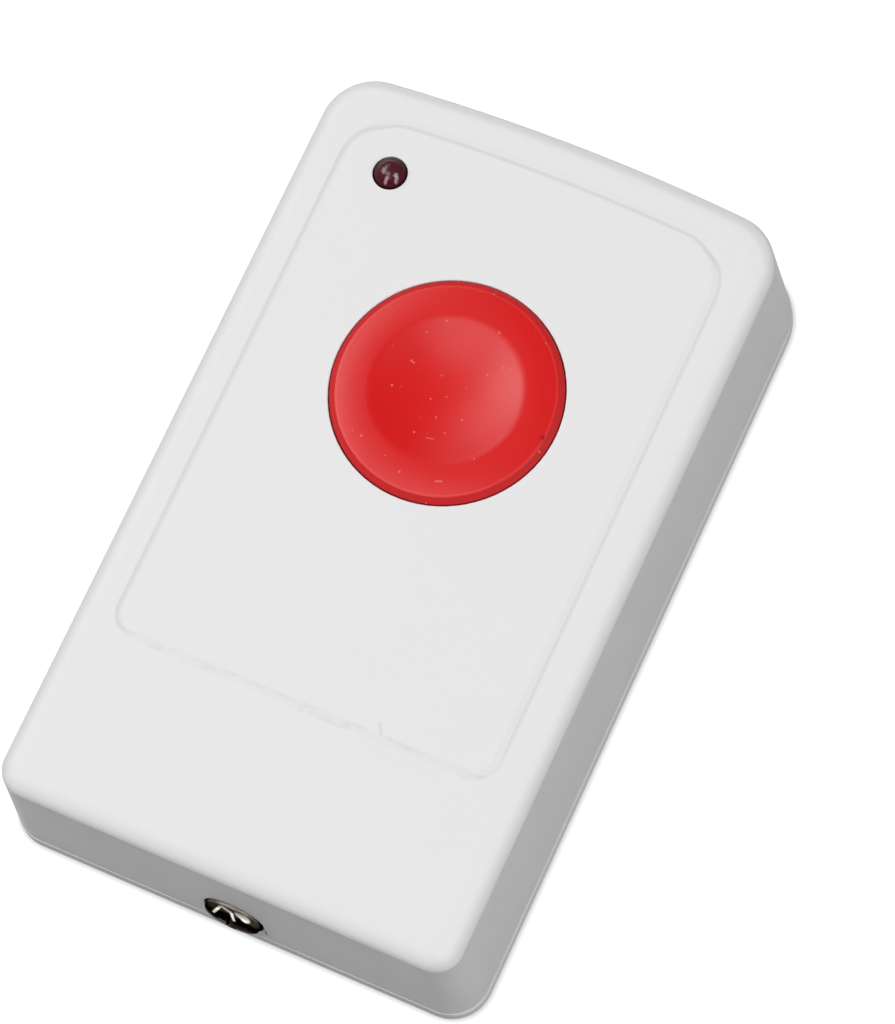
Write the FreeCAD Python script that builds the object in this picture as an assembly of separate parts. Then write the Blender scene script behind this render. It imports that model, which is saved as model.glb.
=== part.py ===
import FreeCAD, Part
import math
import os

from FreeCAD import Vector

# Wireless panic button, in millimetres. It lies on its back: +Z points out of the face with the red
# button, +Y towards the end with the indicator lamp, and the screw end is at -Y. The origin is the
# middle of the footprint on the back face.

# Battery, a 12 V cylindrical cell that lies across the housing and sets its depth
battery_diameter = 10.3
battery_can_length = 27.7
battery_nub_diameter = 3.8
battery_nub_height = 0.8
battery_edge_bevel = 0.4
room_under_battery = 0.7
room_over_battery = 0.7

# Housing, outside
case_width = 45.0
case_length = 74.0
case_draft = 4.8
crown_rise = 1.25
crown_stretches = 4
screw_end_corner = 3.55
lamp_end_corner = 6.0
top_edge_round = 1.9
back_edge_round = 0.12
back_ledge = 0.05

# Housing, walls
side_wall = 1.8
top_wall = 1.8
back_wall = 1.5
parting_gap = 0.1
least_corner = 0.35
inside_round = 0.8

# Shallow panel round the button
panel_margin = 4.5
panel_screw_margin = 16.8
panel_depth = 0.1
panel_slope = 0.55
panel_lamp_corner = 4.9
panel_screw_corner = 2.6

# Lip of the back cover
lip_height = 1.6
lip_thickness = 1.0
lip_clearance = 0.15

# Red button
button_from_lamp_end = 26.65
button_skirt_radius = 10.15
button_clearance = 0.12
button_rim_radius = 9.62
button_rim_rise = 0.3
button_crest_radius = 6.95
button_crest_rise = 0.25
button_dish_depth = 1.1
button_crest_round = 2.0
button_rim_round = 0.12
button_thickness = 1.2
button_skirt_wall = 1.2
button_flange_width = 1.1
button_flange_thickness = 0.8
button_flange_gap = 0.1
button_travel = 0.35
button_post_radius = 2.2
button_rib_thickness = 1.0
button_rib_height = 0.4
button_rib_count = 6
hole_edge_round = 0.12

# Two pins in the front cover that keep the button from turning
guide_pin_radius = 1.0
guide_pin_clearance = 0.15
guide_pin_wall = 1.2
guide_pin_from_flange = 1.35
guide_pin_length = 1.9

# Indicator lamp, a 3 mm LED on the circuit board
lamp_from_lamp_end = 10.1
lamp_from_middle = 13.05
lamp_radius = 1.5
lamp_height = 5.3
lamp_rise = 1.0
lamp_flange_radius = 1.9
lamp_flange_height = 1.0
lamp_clearance = 0.07
lead_width = 0.5
lead_spacing = 2.54
lead_below_board = 1.2

# Circuit board
board_thickness = 1.6
board_drop = 4.8
board_side_clearance = 1.5
board_corner = 2.0
board_battery_gap = 0.4
board_hole_clearance = 0.2

# Board screws and the bosses that take them
boss_radius = 2.4
boss_from_side = 3.0
boss_from_battery_edge = 5.2
boss_from_lamp_edge = 4.0
board_screw_radius = 0.95
board_screw_head_radius = 1.9
board_screw_head_height = 1.2
board_screw_length = 5.0
pilot_clearance = 0.05
locating_pin_radius = 0.9
locating_pin_shoulder = 1.6
locating_pin_from_lamp = 7.0
locating_pin_from_side = 3.1

# Push switch under the button
switch_width = 6.0
switch_body_height = 3.0
switch_floor = 0.8
switch_well_radius = 2.55
switch_plate_thickness = 0.3
switch_plate_overhang = 0.15
switch_peg_radius = 0.4
switch_peg_from_middle = 2.35
switch_peg_rise = 0.15
switch_height = 4.3
plunger_stem_radius = 1.75
plunger_collar_radius = 2.2
plunger_clearance = 0.1
press_gap = 0.05
dome_radius = 2.4
dome_height = 0.5
dome_thickness = 0.1
terminal_width = 0.7
terminal_thickness = 0.3
terminal_from_middle = 2.25

# Encoder chip
chip_length = 12.8
chip_width = 7.5
chip_height = 2.3
chip_stand_off = 0.1
chip_from_board_end = 8.0
pin_pitch = 1.27
pins_per_side = 10
pin_width = 0.4
pin_thickness = 0.25
pin_reach = 1.4
pin_foot = 0.8

# Resonator can, transistor and small chip parts
can_radius = 4.5
can_height = 3.0
can_brim_radius = 4.75
can_brim_height = 0.35
can_from_board_end = 5.1
can_pin_radius = 0.25
can_pin_circle = 2.54
transistor_length = 2.9
transistor_width = 1.5
transistor_height = 1.0
transistor_foot = 0.45
resistor_count = 5
capacitor_count = 4
chip_part_length = 2.0
chip_part_width = 1.25
resistor_height = 0.5
capacitor_height = 0.9
chip_part_pitch = 2.6
chip_part_from_side = 4.2

# Loop aerial on the underside of the board
aerial_width = 1.5
aerial_thickness = 0.15
aerial_half_span = 9.5
aerial_from_board_end = 3.4
aerial_past_button = 9.5

# Battery contacts and the spring
contact_thickness = 0.4
contact_width = 8.0
contact_height = 8.5
contact_arm_height = 1.2
contact_tab_width = 1.2
contact_tab_rise = 0.6
contact_tab_past_board_edge = 1.0
spring_length = 4.0
spring_wire_radius = 0.25
spring_radius = 3.0
spring_small_radius = 2.1
spring_turns = 3.5
battery_fit = 0.15
guide_inner_lip = 0.55
guide_outer_wall = 1.2
guide_depth = 1.4
guide_slot_clearance = 0.05
saddle_thickness = 1.2
saddle_spacing = 16.0
saddle_wall = 0.9

# End screw, the lug of the back cover that it bites into, and the pad it passes through
screw_height = 4.75
screw_from_middle = 0.35
screw_head_radius = 2.7
screw_head_height = 1.9
screw_head_crown = 0.4
screw_head_round = 0.6
screw_shank_radius = 1.2
screw_length = 6.0
screw_tip = 0.8
screw_head_clearance = 0.15
screw_hole_radius = 1.6
screw_recess_depth = 1.0
screw_recess_mouth = 3.2
cross_width = 0.85
cross_span = 3.8
cross_depth = 1.1
pad_half_width = 4.6
pad_thickness = 1.6
pad_above_screw = 3.8
lug_half_width = 4.0
lug_depth = 5.4
lug_above_screw = 2.5
lug_gap = 0.2

# Two hooks of the back cover and the catches that hold them
hook_from_middle = 9.0
hook_width = 5.0
hook_thickness = 1.2
hook_height = 4.3
hook_nose = 1.0
hook_nose_height = 1.4
hook_gap = 0.2
catch_overhang = 1.2
catch_bottom_clearance = 0.7

# Holes in the back cover for two wall screws
wall_hole_spacing = 34.0
wall_holes_from_lamp_end = 12.0
wall_hole_radius = 2.1
wall_hole_straight = 1.5
wall_hole_height = 3.0
wall_boss_wall = 1.0

# What follows from the sizes above
case_height = back_wall + room_under_battery + battery_diameter + room_over_battery + top_wall
half_width = case_width / 2
half_length = case_length / 2
crown_radius = (half_width ** 2 + crown_rise ** 2) / (2 * crown_rise)
crown_centre = half_length - crown_radius
ceiling = case_height - top_wall
panel_floor = case_height - panel_depth
board_top = ceiling - board_drop
board_bottom = board_top - board_thickness
battery_radius = battery_diameter / 2
battery_z = back_wall + room_under_battery + battery_radius
button_y = half_length - button_from_lamp_end
lamp_x = -lamp_from_middle
lamp_y = half_length - lamp_from_lamp_end
lamp_base = panel_floor + lamp_rise - lamp_height
switch_top = board_top + switch_height


def draft_inset(z):
    """How far the drafted side has moved in at height z."""
    return z * math.tan(math.radians(case_draft))


def box(x0, x1, y0, y1, z0, z1):
    return Part.makeBox(x1 - x0, y1 - y0, z1 - z0, Vector(x0, y0, z0))


def rod(x, y, z0, z1, radius):
    """An upright cylinder."""
    return Part.makeCylinder(radius, z1 - z0, Vector(x, y, z0))


def rod_x(x0, x1, y, z, radius):
    return Part.makeCylinder(radius, x1 - x0, Vector(x0, y, z), Vector(1, 0, 0))


def polygon(points):
    """A face with straight sides."""
    return Part.Face(Part.makePolygon(points + points[:1]))


def turned(points):
    """A solid of revolution about Z from (radius, height) corners."""
    face = polygon([Vector(r, 0, z) for r, z in points])
    return face.revolve(Vector(0, 0, 0), Vector(0, 0, 1), 360)


def bridged(start, middle, end):
    return Part.Arc(start, middle, end).toShape()


def straight(start, end):
    return Part.LineSegment(start, end).toShape()


def crown_arcs(crown, lean, z):
    """The crown's arc from +X to -X, in a few equal stretches."""
    step = (math.pi - 2 * lean) / crown_stretches

    def on_crown(angle):
        return Vector(crown * math.cos(angle), crown_centre + crown * math.sin(angle), z)

    starts = [lean + k * step for k in range(crown_stretches)]
    return [bridged(on_crown(a), on_crown(a + step / 2), on_crown(a + step)) for a in starts]


def crowned_wire(half, low, crown, small, big, z):
    """A rounded oblong whose far end is an arc of radius crown about the crown's centre."""
    small = max(small, least_corner)
    big = max(big, least_corner)
    near = Vector(half - small, low + small, z)
    far = Vector(half - big, crown_centre + math.sqrt((crown - big) ** 2 - (half - big) ** 2), z)
    lean = math.atan2(far.y - crown_centre, far.x)

    def about(centre, radius, angle, side):
        return Vector(side * (centre.x + radius * math.cos(angle)), centre.y + radius * math.sin(angle), z)

    edges = [straight(Vector(-near.x, low, z), Vector(near.x, low, z))]
    edges.append(bridged(about(near, small, -math.pi / 2, 1), about(near, small, -math.pi / 4, 1),
                         about(near, small, 0, 1)))
    edges.append(straight(about(near, small, 0, 1), about(far, big, 0, 1)))
    edges.append(bridged(about(far, big, 0, 1), about(far, big, lean / 2, 1), about(far, big, lean, 1)))
    edges += crown_arcs(crown, lean, z)
    edges.append(bridged(about(far, big, lean, -1), about(far, big, lean / 2, -1), about(far, big, 0, -1)))
    edges.append(straight(about(far, big, 0, -1), about(near, small, 0, -1)))
    edges.append(bridged(about(near, small, 0, -1), about(near, small, -math.pi / 4, -1),
                         about(near, small, -math.pi / 2, -1)))
    return Part.Wire(edges)


def case_wire(inset, z):
    """The housing's outline at height z, moved in by inset from its drafted side."""
    step = inset + draft_inset(z)
    return crowned_wire(half_width - step, -half_length + step, crown_radius - step,
                        screw_end_corner - step, lamp_end_corner - step, z)


def panel_wire(inset, z):
    """The panel's outline, parallel to the housing's crown."""
    return crowned_wire(half_width - panel_margin - inset, -half_length + panel_screw_margin + inset,
                        crown_radius - panel_margin - inset,
                        panel_screw_corner - inset, panel_lamp_corner - inset, z)


def drafted(inset, z0, z1):
    """A solid between two heights whose sides follow the housing's draft."""
    return Part.makeLoft([case_wire(inset, z0), case_wire(inset, z1)], True, True)


def level_edges(shape, z):
    """The edges that lie at one height."""
    return [e for e in shape.Edges if max(abs(v.Point.z - z) for v in e.Vertexes) < 1e-4
            and abs(e.BoundBox.ZMin - z) < 1e-3]


def rounded_level(shape, z, radius):
    return shape.makeFillet(radius, level_edges(shape, z))


def end_wall_y(z):
    """Outer face of the screw end at height z."""
    return -half_length + draft_inset(z)


def out_of_end_wall(shape):
    """Stands a shape built about +Z square out of the drafted end wall, at the end screw's place."""
    shape.rotate(Vector(0, 0, 0), Vector(1, 0, 0), 90 - case_draft)
    shape.translate(Vector(screw_from_middle, end_wall_y(screw_height), screw_height))
    return shape


def pad_face_y():
    return end_wall_y(screw_height) + side_wall + pad_thickness


def lug_face_y():
    return pad_face_y() + lug_gap


def battery_y():
    """The cell lies just past the lug."""
    return lug_face_y() + lug_depth + battery_fit * 2 + battery_radius


def board_span():
    """Low x, high x, low y and high y of the circuit board."""
    half = half_width - draft_inset(board_top) - side_wall - board_side_clearance
    low = battery_y() + battery_radius + saddle_wall + board_battery_gap
    high = half_length - crown_rise - draft_inset(board_top) - side_wall - board_side_clearance
    return -half, half, low, high


def boss_places():
    """Two at the battery's end of the board and one at the lamp's end."""
    low_x, high_x, low_y, high_y = board_span()
    return [(low_x + boss_from_side, low_y + boss_from_battery_edge),
            (high_x - boss_from_side, low_y + boss_from_battery_edge),
            (high_x - boss_from_side, high_y - boss_from_lamp_edge)]


def locating_pin_place():
    return board_span()[0] + locating_pin_from_side, lamp_y - locating_pin_from_lamp


def guide_pin_x():
    return button_skirt_radius + button_flange_width + guide_pin_from_flange


def contact_row():
    """Along x: outer face of the spring's plate, the cell's two ends, outer face of the other plate."""
    total = contact_thickness * 2 + spring_length + battery_can_length + battery_nub_height
    start = -total / 2
    can = start + contact_thickness + spring_length
    return start, can, can + battery_can_length, -start


def wall_hole_places():
    near = half_length - wall_holes_from_lamp_end
    return [(0, near - wall_hole_spacing), (0, near)]


def terminal_places():
    half = switch_width / 2
    return [(side * (half + terminal_thickness / 2 + plunger_clearance), end * terminal_from_middle)
            for side in (-1, 1) for end in (-1, 1)]


def can_place():
    return 0, board_span()[3] - can_from_board_end


def can_pins():
    x, y = can_place()
    turns = [math.radians(90 * k) for k in range(3)]
    return [(x + can_pin_circle * math.cos(a), y - can_pin_circle * math.sin(a)) for a in turns]


def contact_tab_y():
    return board_span()[2] + contact_tab_past_board_edge


def screw_recess():
    """Round recess for the end screw's head, open below so that no thin web is left at the edge."""
    radius = screw_head_radius + screw_head_clearance
    mouth = box(-screw_recess_mouth / 2, screw_recess_mouth / 2, -2 * radius, 0,
                -screw_recess_depth, side_wall)
    return out_of_end_wall(rod(0, 0, -screw_recess_depth, side_wall, radius).fuse(mouth))


def screw_bore(depth, radius):
    """A straight hole along the end screw, in from the wall's face."""
    return out_of_end_wall(rod(0, 0, -depth, side_wall, radius))


def screw_end_pad():
    """Thickens the end wall where the screw passes."""
    outer = end_wall_y(screw_height + pad_above_screw) + side_wall / 2
    return box(-pad_half_width, pad_half_width, outer, pad_face_y(),
               back_wall + parting_gap, screw_height + pad_above_screw)


def saddle_places():
    start, low, high, end = contact_row()
    middle = (low + high) / 2
    return middle - saddle_spacing / 2, middle + saddle_spacing / 2


def battery_saddles():
    """Two ribs that straddle the cell from above."""
    ribs = []
    half = battery_radius + saddle_wall
    bore = rod_x(-half_width, half_width, battery_y(), battery_z, battery_radius + battery_fit)
    for x in saddle_places():
        rib = box(x - saddle_thickness / 2, x + saddle_thickness / 2, battery_y() - half,
                  battery_y() + half, battery_z, ceiling + top_wall / 2)
        ribs.append(rib.cut(bore))
    return ribs


def contact_guides():
    """Slotted posts that hold the two contact plates by their edges."""
    outer = contact_row()[3]
    inner = outer - contact_thickness - guide_inner_lip
    reach = contact_width / 2 + guide_depth
    opening = contact_width / 2 - guide_depth / 2
    guides = []
    for side in (-1, 1):
        low_x, high_x = sorted((side * inner, side * (outer + guide_outer_wall)))
        post = box(low_x, high_x, battery_y() - reach, battery_y() + reach, battery_z,
                   ceiling + top_wall / 2)
        window = box(low_x, high_x, battery_y() - opening, battery_y() + opening, 0, case_height)
        face = min(side * outer, side * (outer - contact_thickness))
        slot = box(face - guide_slot_clearance, face + contact_thickness + guide_slot_clearance,
                   battery_y() - contact_width / 2 - guide_slot_clearance,
                   battery_y() + contact_width / 2 + guide_slot_clearance, 0,
                   contact_top() + guide_slot_clearance)
        guides.append(post.cut(window).cut(slot))
    return guides


def contact_top():
    return battery_z + contact_height / 2


def board_bosses():
    """Posts under the top wall that the board is screwed to, and the pin that locates it."""
    posts = [rod(x, y, board_top, ceiling + top_wall / 2, boss_radius) for x, y in boss_places()]
    x, y = locating_pin_place()
    posts.append(rod(x, y, board_top, ceiling + top_wall / 2, locating_pin_shoulder))
    posts.append(rod(x, y, board_bottom, board_top, locating_pin_radius))
    return posts


def boss_pilots():
    depth = board_screw_length - board_thickness + 2 * pilot_clearance
    return [rod(x, y, board_top, board_top + depth, board_screw_radius + pilot_clearance)
            for x, y in boss_places()]


def button_guide_pins():
    return [rod(side * guide_pin_x(), button_y, ceiling - guide_pin_length, ceiling + top_wall / 2,
                guide_pin_radius) for side in (-1, 1)]


def hook_y():
    """Outer face of the hooks, just inside the lamp end's wall."""
    return half_length - crown_rise - draft_inset(hook_height) - side_wall - hook_nose - hook_gap


def catches():
    """Blocks inside the lamp end that the hooks' noses pass over."""
    blocks = []
    top = back_wall + hook_height - hook_nose_height - hook_gap
    for side in (-1, 1):
        middle = side * hook_from_middle
        blocks.append(box(middle - hook_width / 2 - hook_gap, middle + hook_width / 2 + hook_gap,
                          hook_y() + hook_gap, hook_y() + hook_gap + hook_nose + catch_overhang,
                          back_wall + catch_bottom_clearance, top))
    return blocks


def front_cover():
    """The deep shell: drafted walls, round top edge, sunken panel, button hole and fixings."""
    outer = rounded_level(drafted(0, back_wall + parting_gap, case_height), case_height, top_edge_round)
    hollow = rounded_level(drafted(side_wall, back_wall, ceiling), ceiling, inside_round)
    shell = outer.cut(hollow)
    inner_parts = [screw_end_pad()] + battery_saddles() + contact_guides() + board_bosses()
    inner_parts += button_guide_pins() + catches()
    shell = shell.fuse(inner_parts)
    panel = Part.makeLoft([panel_wire(-panel_slope, case_height + panel_depth),
                           panel_wire(panel_slope, panel_floor)], True, True)
    hole = rod(0, button_y, 0, 2 * case_height, button_skirt_radius + button_clearance)
    lamp_hole = rod(lamp_x, lamp_y, ceiling - top_wall, 2 * case_height, lamp_radius + lamp_clearance)
    screw_hole = screw_bore(2 * (side_wall + pad_thickness), screw_hole_radius)
    shell = shell.cut([panel, lamp_hole, screw_recess(), screw_hole] + boss_pilots())
    shell = shell.cut(hole).removeSplitter()
    rims = [e for e in level_edges(shell, panel_floor) if e.Closed and e.Length > 6 * button_skirt_radius]
    return shell.makeFillet(hole_edge_round, rims)


def back_lip():
    """The low wall that locates the front cover, left out beside the pad and the hooks."""
    top = back_wall + lip_height
    outer_inset = side_wall + lip_clearance
    tall = drafted(outer_inset, back_wall / 2, top)
    lip = tall.cut(drafted(outer_inset + lip_thickness, 0, 2 * top))
    gaps = [box(-pad_half_width - lip_thickness, pad_half_width + lip_thickness, -half_length,
                pad_face_y() + lug_gap, back_wall, 2 * top)]
    for block in catches():
        size = block.BoundBox
        gaps.append(box(size.XMin - lip_clearance, size.XMax + lip_clearance, size.YMin - hook_thickness,
                        half_length, back_wall, 2 * top))
    return lip.cut(gaps)


def screw_lug():
    """The block that the end screw bites into."""
    return box(-lug_half_width, lug_half_width, lug_face_y(), lug_face_y() + lug_depth,
               back_wall / 2, screw_height + lug_above_screw)


def hooks():
    """Two posts with outward noses at the lamp end."""
    parts = []
    top = back_wall + hook_height
    for side in (-1, 1):
        low_x = side * hook_from_middle - hook_width / 2
        high_x = low_x + hook_width
        parts.append(box(low_x, high_x, hook_y() - hook_thickness, hook_y(), back_wall / 2, top))
        slope = [Vector(low_x, hook_y(), top - hook_nose_height),
                 Vector(low_x, hook_y() + hook_nose, top - hook_nose_height),
                 Vector(low_x, hook_y() + hook_nose, top - hook_nose_height / 2),
                 Vector(low_x, hook_y(), top)]
        parts.append(polygon(slope).extrude(Vector(hook_width, 0, 0)))
    return parts


def battery_rests():
    """Two ribs in the back cover, hollowed to the cell's round."""
    bore = rod_x(-half_width, half_width, battery_y(), battery_z, battery_radius + battery_fit)
    ribs = []
    for x in saddle_places():
        rib = box(x - saddle_thickness / 2, x + saddle_thickness / 2, battery_y() - battery_radius * 0.8,
                  battery_y() + battery_radius * 0.8, back_wall / 2, battery_z - battery_radius / 2)
        ribs.append(rib.cut(bore))
    return ribs


def back_cover():
    """The flat back with its lip, screw lug, hooks, battery rests and wall-screw holes."""
    plate = Part.makeLoft([case_wire(0, 0), case_wire(-back_ledge, back_wall)], True, True)
    plate = rounded_level(plate, 0, back_edge_round)
    sink_radius = wall_hole_radius + wall_hole_height - wall_hole_straight
    bosses = [rod(x, y, back_wall / 2, wall_hole_height, sink_radius + wall_boss_wall)
              for x, y in wall_hole_places()]
    cover = plate.fuse([back_lip(), screw_lug()] + hooks() + battery_rests() + bosses)
    cuts = [screw_bore(screw_recess_depth + screw_length + lug_gap, screw_shank_radius + pilot_clearance)]
    for x, y in wall_hole_places():
        cuts.append(rod(x, y, -back_wall, wall_hole_height, wall_hole_radius))
        cuts.append(Part.makeCone(wall_hole_radius, sink_radius, wall_hole_height - wall_hole_straight,
                                  Vector(x, y, wall_hole_straight)))
    return cover.cut(cuts).removeSplitter()


def crest_and_bowl(crest_z):
    """The dish: a bowl that turns over into a round crest, as arcs that meet smoothly."""
    both = (button_crest_radius ** 2 + button_dish_depth ** 2) / (2 * button_dish_depth)
    bowl = both - button_crest_round
    bowl_z = crest_z - button_dish_depth + bowl
    crest_low = crest_z - button_crest_round
    lean = math.asin(button_crest_radius / both)

    def on_bowl(angle):
        return Vector(bowl * math.sin(angle), 0, bowl_z - bowl * math.cos(angle))

    def on_crest(angle):
        return Vector(button_crest_radius - button_crest_round * math.sin(angle), 0,
                      crest_low + button_crest_round * math.cos(angle))

    return [bridged(on_bowl(0), on_bowl(lean / 2), on_bowl(lean)),
            bridged(on_bowl(lean), on_crest(lean / 2), on_crest(0))]


def button_cap(under_z, flange_low, flange_top):
    """The turned part of the button: dish, falling edge, sloping side, skirt and flange."""
    rim_z = case_height + button_rim_rise
    crest_z = rim_z + button_crest_rise
    width = button_rim_radius - button_crest_radius
    edge = (width ** 2 + button_crest_rise ** 2) / (2 * button_crest_rise)
    half_way = Vector(button_crest_radius + width / 2, 0,
                      crest_z - edge + math.sqrt(edge ** 2 - width ** 2 / 4))
    inner = button_skirt_radius - button_skirt_wall
    corners = [(button_rim_radius, rim_z), (button_skirt_radius, panel_floor),
               (button_skirt_radius, flange_top), (button_skirt_radius + button_flange_width, flange_top),
               (button_skirt_radius + button_flange_width, flange_low), (inner, flange_low),
               (inner, under_z), (0, under_z), (0, crest_z - button_dish_depth)]
    points = [Vector(r, 0, z) for r, z in corners]
    edges = crest_and_bowl(crest_z)
    edges.append(bridged(Vector(button_crest_radius, 0, crest_z), half_way, points[0]))
    edges += [straight(a, b) for a, b in zip(points, points[1:])]
    cap = Part.Face(Part.Wire(edges)).revolve(Vector(0, 0, 0), Vector(0, 0, 1), 360)
    return cap.makeFillet(button_rim_round, level_edges(cap, rim_z))


def panic_button():
    """The dished red button with its retaining flange, guide ears, ribs and post."""
    dish_z = case_height + button_rim_rise + button_crest_rise - button_dish_depth
    under_z = dish_z - button_thickness
    flange_top = ceiling - button_flange_gap
    flange_low = flange_top - button_flange_thickness
    cap = button_cap(under_z, flange_low, flange_top)
    inner = button_skirt_radius - button_skirt_wall
    parts = [rod(0, 0, switch_top + press_gap, under_z, button_post_radius)]
    for k in range(button_rib_count):
        rib = box(0, inner, -button_rib_thickness / 2, button_rib_thickness / 2,
                  under_z - button_rib_height, under_z)
        rib.rotate(Vector(0, 0, 0), Vector(0, 0, 1), 360 * k / button_rib_count)
        parts.append(rib)
    ear = guide_pin_radius + guide_pin_clearance + guide_pin_wall
    holes = []
    for side in (-1, 1):
        x = side * guide_pin_x()
        parts.append(rod(x, 0, flange_low, flange_top, ear))
        parts.append(box(min(x, side * button_skirt_radius), max(x, side * button_skirt_radius),
                         -ear, ear, flange_low, flange_top))
        holes.append(rod(x, 0, flange_low - 1, flange_top + 1, guide_pin_radius + guide_pin_clearance))
    whole = cap.fuse(parts).cut(holes).removeSplitter()
    whole.translate(Vector(0, button_y, 0))
    return whole


def cross_wing(top, span, width, depth):
    """One of the two crossing slots of a driver recess, which narrows as it goes down."""
    outline = [Vector(-span / 2, -width / 2, top + depth), Vector(span / 2, -width / 2, top + depth),
               Vector(span / 2, -width / 2, top), Vector(width / 2, -width / 2, top - depth),
               Vector(-width / 2, -width / 2, top - depth), Vector(-span / 2, -width / 2, top)]
    return polygon(outline).extrude(Vector(0, width, 0))


def end_screw():
    """Pan-head screw with a slightly crowned head and a cross recess, square to the end wall."""
    rim = screw_head_height - screw_head_crown
    crown = (screw_head_radius ** 2 + screw_head_crown ** 2) / (2 * screw_head_crown)
    half_way = screw_head_radius / 2
    middle = Vector(half_way, 0, screw_head_height - crown + math.sqrt(crown ** 2 - half_way ** 2))
    edge = Vector(screw_head_radius, 0, rim)
    top = Vector(0, 0, screw_head_height)
    foot = Vector(screw_head_radius, 0, 0)
    outline = [straight(Vector(0, 0, 0), foot), straight(foot, edge), bridged(edge, middle, top),
               straight(top, Vector(0, 0, 0))]
    head = Part.Face(Part.Wire(outline)).revolve(Vector(0, 0, 0), Vector(0, 0, 1), 360)
    head = rounded_level(head, rim, screw_head_round)
    for turn in (0, 90):
        slot = cross_wing(screw_head_height, cross_span, cross_width, cross_depth)
        slot.rotate(Vector(0, 0, 0), Vector(0, 0, 1), turn)
        head = head.cut(slot)
    shank = turned([(0, 0), (screw_shank_radius, 0), (screw_shank_radius, screw_tip - screw_length),
                    (screw_shank_radius / 4, -screw_length), (0, -screw_length)])
    screw = head.fuse(shank).removeSplitter()
    screw.translate(Vector(0, 0, -screw_recess_depth))
    return out_of_end_wall(screw)


def board_screws():
    """Three small pan-head screws that hold the board up to its bosses."""
    screws = []
    for x, y in boss_places():
        screw = turned([(0, -board_screw_head_height), (board_screw_head_radius * 0.7, -board_screw_head_height),
                        (board_screw_head_radius, -board_screw_head_height * 0.45),
                        (board_screw_head_radius, 0), (board_screw_radius, 0),
                        (board_screw_radius, board_screw_length - board_screw_radius),
                        (board_screw_radius / 4, board_screw_length), (0, board_screw_length)])
        width = board_screw_head_radius / 4
        for turn in (0, 90):
            slot = box(-board_screw_head_radius * 0.55, board_screw_head_radius * 0.55, -width / 2, width / 2,
                       -board_screw_head_height, -board_screw_head_height * 0.5)
            slot.rotate(Vector(0, 0, 0), Vector(0, 0, 1), turn)
            screw = screw.cut(slot)
        screw.translate(Vector(x, y, board_bottom))
        screws.append(screw)
    return Part.makeCompound(screws)


def circuit_board():
    """The board, with its screw holes, pin holes and contact slots."""
    low_x, high_x, low_y, high_y = board_span()
    board = box(low_x, high_x, low_y, high_y, board_bottom, board_top)
    upright = [e for e in board.Edges if e.BoundBox.ZLength > board_thickness / 2]
    board = board.makeFillet(board_corner, upright)

    def drilled(x, y, radius):
        return rod(x, y, board_bottom - 1, board_top + 1, radius)

    holes = [drilled(x, y, board_screw_radius + board_hole_clearance) for x, y in boss_places()]
    holes.append(drilled(*locating_pin_place(), locating_pin_radius + board_hole_clearance / 2))
    for side in (-1, 1):
        holes.append(drilled(lamp_x + side * lead_spacing / 2, lamp_y, lead_width))
    for x, y in terminal_places():
        holes.append(drilled(x, button_y + y, terminal_width / 2 + board_hole_clearance))
    for x, y in can_pins():
        holes.append(drilled(x, y, can_pin_radius + board_hole_clearance))
    start, low, high, end = contact_row()
    for face in (start, end - contact_thickness):
        holes.append(box(face - board_hole_clearance, face + contact_thickness + board_hole_clearance,
                         contact_tab_y() - board_hole_clearance,
                         contact_tab_y() + contact_tab_width + board_hole_clearance,
                         board_bottom - 1, board_top + 1))
    return board.cut(holes)


def lamp_lens():
    """The LED's moulded body: flange with a flat, barrel and dome."""
    barrel_top = lamp_height - lamp_radius
    flange = rod(0, 0, 0, lamp_flange_height, lamp_flange_radius)
    flat = box(-lamp_flange_radius * 2, -(lamp_radius + lamp_flange_radius) / 2, -lamp_flange_radius,
               lamp_flange_radius, 0, lamp_flange_height)
    barrel = rod(0, 0, 0, barrel_top, lamp_radius)
    dome = Part.makeSphere(lamp_radius, Vector(0, 0, barrel_top))
    lens = flange.cut(flat).fuse([barrel, dome]).removeSplitter()
    lens.translate(Vector(lamp_x, lamp_y, lamp_base))
    return lens


def lamp_leads():
    """Two square wire leads from the LED down through the board."""
    half = lead_width / 2
    leads = []
    for side in (-1, 1):
        x = lamp_x + side * lead_spacing / 2
        leads.append(box(x - half, x + half, lamp_y - half, lamp_y + half,
                         board_bottom - lead_below_board, lamp_base))
    return Part.makeCompound(leads)


def switch_housing():
    """Moulded box of the push switch with a round well and four pegs."""
    half = switch_width / 2
    top = board_top + switch_body_height
    body = box(-half, half, -half, half, board_top, top)
    well = rod(0, 0, board_top + switch_floor, top, switch_well_radius)
    pegs = [rod(x * switch_peg_from_middle, y * switch_peg_from_middle, top,
                top + switch_plate_thickness + switch_peg_rise, switch_peg_radius)
            for x in (-1, 1) for y in (-1, 1)]
    body = body.cut(well).fuse(pegs)
    body.translate(Vector(0, button_y, 0))
    return body


def switch_frame():
    """Thin steel plate held on the switch by the pegs."""
    half = switch_width / 2 + switch_plate_overhang
    low = board_top + switch_body_height
    plate = box(-half, half, -half, half, low, low + switch_plate_thickness)
    holes = [rod(x * switch_peg_from_middle, y * switch_peg_from_middle, low - 1, low + 1,
                 switch_peg_radius + pilot_clearance) for x in (-1, 1) for y in (-1, 1)]
    holes.append(rod(0, 0, low - 1, low + 1, plunger_stem_radius + plunger_clearance))
    plate = plate.cut(holes)
    plate.translate(Vector(0, button_y, 0))
    return plate


def dome_low():
    return board_top + switch_floor


def switch_plunger():
    """The switch's stem with the collar that rests on the snap dome."""
    low = dome_low() + dome_height + press_gap
    collar_top = board_top + switch_body_height - plunger_clearance
    plunger = turned([(0, low), (plunger_collar_radius, low),
                      (plunger_collar_radius, collar_top), (plunger_stem_radius, collar_top),
                      (plunger_stem_radius, switch_top), (0, switch_top)])
    plunger.translate(Vector(0, button_y, 0))
    return plunger


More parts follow.
